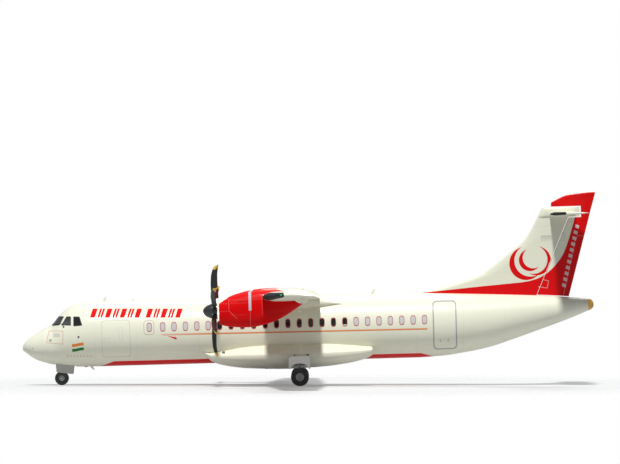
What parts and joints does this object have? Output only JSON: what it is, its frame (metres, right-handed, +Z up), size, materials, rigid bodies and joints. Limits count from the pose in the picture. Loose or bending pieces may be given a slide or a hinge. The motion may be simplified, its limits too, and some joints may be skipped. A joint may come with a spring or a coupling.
{
  "type": "twin-turboprop high-wing passenger airliner",
  "caption": "High-wing propeller airliner with T-tail, red engine nacelles, turning propellers, wheels, control surfaces and doors.",
  "frame": {"origin": "bottom centre of the bounding box, on the ground under the middle of the parked aircraft", "axes": "-X towards the nose, +Y to starboard, +Z up; the airframe sits 1.6 degrees nose down on its wheels"},
  "size_m": [25.9972, 27.05, 8.7623],
  "materials": {
    "white_paint": "glossy cream-white paint",
    "red_paint": "glossy red paint",
    "amber_lens": "clear amber lens",
    "dark_glass": "dark flight-deck glass",
    "rubber": "matt black rubber",
    "grey_metal": "grey metal",
    "blade_black": "satin black with yellow tips",
    "gear_steel": "dark steel"
  },
  "bodies": {
    "airframe": {"exhaust_port": "grey_metal", "exhaust_starboard": "grey_metal", "exit_hatch_port": "white_paint", "exit_hatch_starboard": "white_paint", "fin": "white_paint", "flight_deck_glazing": "dark_glass", "fuselage": "white_paint", "gear_fairing": "white_paint", "main_door_port": "white_paint", "main_door_starboard": "white_paint", "main_leg_port": "gear_steel", "main_leg_starboard": "gear_steel", "nacelle_port": "red_paint", "nacelle_starboard": "red_paint", "nose_door_port": "white_paint", "nose_door_starboard": "white_paint", "nose_leg": "gear_steel", "radome": "white_paint", "service_door": "white_paint", "tail_light": "amber_lens", "tailplane": "white_paint", "tailplane_fairing": "white_paint", "wing_fairing": "white_paint", "wing_port": "white_paint", "wing_starboard": "white_paint"},
    "prop_port": {"propeller_port": "blade_black", "spinner_port": "blade_black"},
    "wheels_main_port": {"tyre_main_port_outer": "rubber", "tyre_main_port_inner": "rubber", "rim_main_port_outer": "grey_metal", "rim_main_port_inner": "grey_metal"},
    "inner_flap_port": {"inner_flap_port": "white_paint"},
    "outer_flap_port": {"outer_flap_port": "white_paint"},
    "aileron_port": {"aileron_port": "white_paint"},
    "elevator_port": {"elevator_port": "white_paint"},
    "prop_starboard": {"propeller_starboard": "blade_black", "spinner_starboard": "blade_black"},
    "wheels_main_starboard": {"tyre_main_starboard_outer": "rubber", "tyre_main_starboard_inner": "rubber", "rim_main_starboard_outer": "grey_metal", "rim_main_starboard_inner": "grey_metal"},
    "inner_flap_starboard": {"inner_flap_starboard": "white_paint"},
    "outer_flap_starboard": {"outer_flap_starboard": "white_paint"},
    "aileron_starboard": {"aileron_starboard": "white_paint"},
    "elevator_starboard": {"elevator_starboard": "white_paint"},
    "rudder": {"rudder": "red_paint"},
    "nose_steering": {"nose_fork": "gear_steel"},
    "wheels_nose": {"tyre_nose_port": "rubber", "tyre_nose_starboard": "rubber", "rim_nose_port": "grey_metal", "rim_nose_starboard": "grey_metal"},
    "stair_door": {"stair_door": "white_paint"},
    "cargo_door": {"cargo_door": "white_paint"}
  },
  "joints": [
    {"name": "propeller_port_spin", "type": "hinge", "parent": "airframe", "child": "prop_port", "pos_m": [-4.23665, -4.05, 3.40404], "axis": [0.9996, 0, 0.0279], "continuous": true},
    {"name": "propeller_starboard_spin", "type": "hinge", "parent": "airframe", "child": "prop_starboard", "pos_m": [-4.23665, 4.05, 3.40404], "axis": [0.9996, 0, 0.0279], "continuous": true},
    {"name": "main_wheels_port_roll", "type": "hinge", "parent": "airframe", "child": "wheels_main_port", "pos_m": [-0.41147, -2.05, 0.40649], "axis": [0, 1, 0], "continuous": true},
    {"name": "main_wheels_starboard_roll", "type": "hinge", "parent": "airframe", "child": "wheels_main_starboard", "pos_m": [-0.41147, 2.05, 0.40649], "axis": [0, 1, 0], "continuous": true},
    {"name": "nose_wheels_roll", "type": "hinge", "parent": "nose_steering", "child": "wheels_nose", "pos_m": [-11.22305, 0, 0.3123], "axis": [0, 1, 0], "continuous": true},
    {"name": "nose_wheel_steering", "type": "hinge", "parent": "airframe", "child": "nose_steering", "pos_m": [-11.22305, 0, 0.3123], "axis": [-0.0279, 0, 0.9996], "range_deg": [-60, 60]},
    {"name": "inner_flap_port_hinge", "type": "hinge", "parent": "airframe", "child": "inner_flap_port", "pos_m": [-0.29017, -2.42, 4.04345], "axis": [0, 1, 0], "range_deg": [0, 35]},
    {"name": "inner_flap_starboard_hinge", "type": "hinge", "parent": "airframe", "child": "inner_flap_starboard", "pos_m": [-0.29017, 2.42, 4.04345], "axis": [0, 1, 0], "range_deg": [0, 35]},
    {"name": "outer_flap_port_hinge", "type": "hinge", "parent": "airframe", "child": "outer_flap_port", "pos_m": [-0.28608, -6.94, 4.08544], "axis": [-0.0017, 0.9998, -0.0179], "range_deg": [0, 35]},
    {"name": "outer_flap_starboard_hinge", "type": "hinge", "parent": "airframe", "child": "outer_flap_starboard", "pos_m": [-0.28608, 6.94, 4.08544], "axis": [0.0017, 0.9998, 0.0179], "range_deg": [0, 35]},
    {"name": "aileron_port_hinge", "type": "hinge", "parent": "airframe", "child": "aileron_port", "pos_m": [-0.24171, -11.085, 4.15767], "axis": [0.0004, 0.9998, -0.0181], "range_deg": [-20, 20]},
    {"name": "aileron_starboard_hinge", "type": "hinge", "parent": "airframe", "child": "aileron_starboard", "pos_m": [-0.24171, 11.085, 4.15767], "axis": [-0.0004, 0.9998, 0.0181], "range_deg": [-20, 20]},
    {"name": "elevator_port_hinge", "type": "hinge", "parent": "airframe", "child": "elevator_port", "pos_m": [12.08072, -1.9075, 7.80136], "axis": [0.0001, 1, 0], "range_deg": [-20, 20]},
    {"name": "elevator_starboard_hinge", "type": "hinge", "parent": "airframe", "child": "elevator_starboard", "pos_m": [12.08072, 1.9075, 7.80136], "axis": [-0.0001, 1, 0], "range_deg": [-20, 20]},
    {"name": "rudder_hinge", "type": "hinge", "parent": "airframe", "child": "rudder", "pos_m": [11.17005, 0, 5.88769], "axis": [0.3663, 0, 0.9305], "range_deg": [-25, 25]},
    {"name": "stair_door_hinge", "type": "hinge", "parent": "airframe", "child": "stair_door", "pos_m": [6.17015, -0.90634, 1.69395], "axis": [0.991, 0.1308, 0.0277], "range_deg": [0, 128]},
    {"name": "cargo_door_hinge", "type": "hinge", "parent": "airframe", "child": "cargo_door", "pos_m": [-8.74984, -1.33899, 2.91784], "axis": [-0.9996, 0, -0.0279], "range_deg": [0, 100]}
  ],
  "couplings": [
    {"joint": "aileron_starboard_hinge", "follows": "aileron_port_hinge", "ratio": -1},
    {"joint": "elevator_starboard_hinge", "follows": "elevator_port_hinge", "ratio": 1},
    {"joint": "inner_flap_starboard_hinge", "follows": "inner_flap_port_hinge", "ratio": 1},
    {"joint": "outer_flap_port_hinge", "follows": "inner_flap_port_hinge", "ratio": 1},
    {"joint": "outer_flap_starboard_hinge", "follows": "inner_flap_port_hinge", "ratio": 1}
  ]
}
